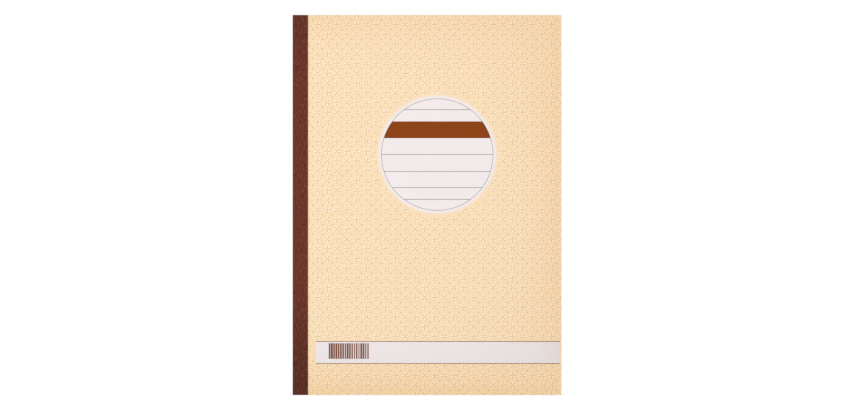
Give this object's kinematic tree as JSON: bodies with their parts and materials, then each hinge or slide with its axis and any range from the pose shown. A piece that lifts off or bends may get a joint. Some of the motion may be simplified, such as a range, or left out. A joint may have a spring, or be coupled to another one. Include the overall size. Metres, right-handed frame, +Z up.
{
  "type": "duplicate order book",
  "caption": "A4 duplicate order book with a card cover, carbonless sets stapled at the side, a cloth spine tape and a plain back board.",
  "frame": {"origin": "centre of the closed book's box on the table, on the back cover's underside", "axes": "+X from the spine to the fore-edge, +Y from the foot to the head, +Z up out of the front cover"},
  "size_m": [0.21, 0.297, 0.0095],
  "materials": {
    "cover_card": "satin",
    "book_cloth": "matte",
    "glue": "satin",
    "staple_wire": "satin",
    "original_paper": "matte",
    "copy_paper": "matte",
    "shield_card": "matte",
    "set_paper": "matte",
    "back_board": "matte"
  },
  "bodies": {
    "binding": {"back_cover": "back_board", "spine_tape": "book_cloth", "spine_glue": "glue", "staple_head": "staple_wire", "staple_middle": "staple_wire", "staple_foot": "staple_wire", "front_cover_margin": "cover_card", "original_1_margin": "original_paper", "copy_1_margin": "copy_paper", "sets_02_to_08": "set_paper", "sets_09_to_15": "set_paper", "sets_16_to_22": "set_paper", "sets_23_to_29": "set_paper", "sets_30_to_36": "set_paper", "sets_37_to_43": "set_paper", "sets_44_to_50": "set_paper"},
    "writing_shield": {"writing_shield": "shield_card"},
    "copy_1": {"copy_1": "copy_paper"},
    "original_1": {"original_1_strip": "original_paper"},
    "original_1_sheet": {"original_1_sheet": "original_paper"},
    "front_cover": {"front_cover": "cover_card"}
  },
  "joints": [
    {"name": "writing_shield_slide", "type": "slide", "parent": "binding", "child": "writing_shield", "axis": [1, 0, 0], "range_m": [0, 0.197]},
    {"name": "copy_1_hinge", "type": "hinge", "parent": "binding", "child": "copy_1", "pos_m": [-0.0927, 0, 0.0095], "axis": [0, -1, 0], "range_deg": [0, 16]},
    {"name": "original_1_hinge", "type": "hinge", "parent": "copy_1", "child": "original_1", "pos_m": [-0.0927, 0, 0.0095], "axis": [0, -1, 0], "range_deg": [0, 27]},
    {"name": "original_1_tear_off", "type": "slide", "parent": "original_1", "child": "original_1_sheet", "axis": [1, 0, 0], "range_m": [0, 0.195]},
    {"name": "front_cover_hinge", "type": "hinge", "parent": "original_1", "child": "front_cover", "pos_m": [-0.0927, 0, 0.0095], "axis": [0, -1, 0], "range_deg": [0, 135]}
  ]
}
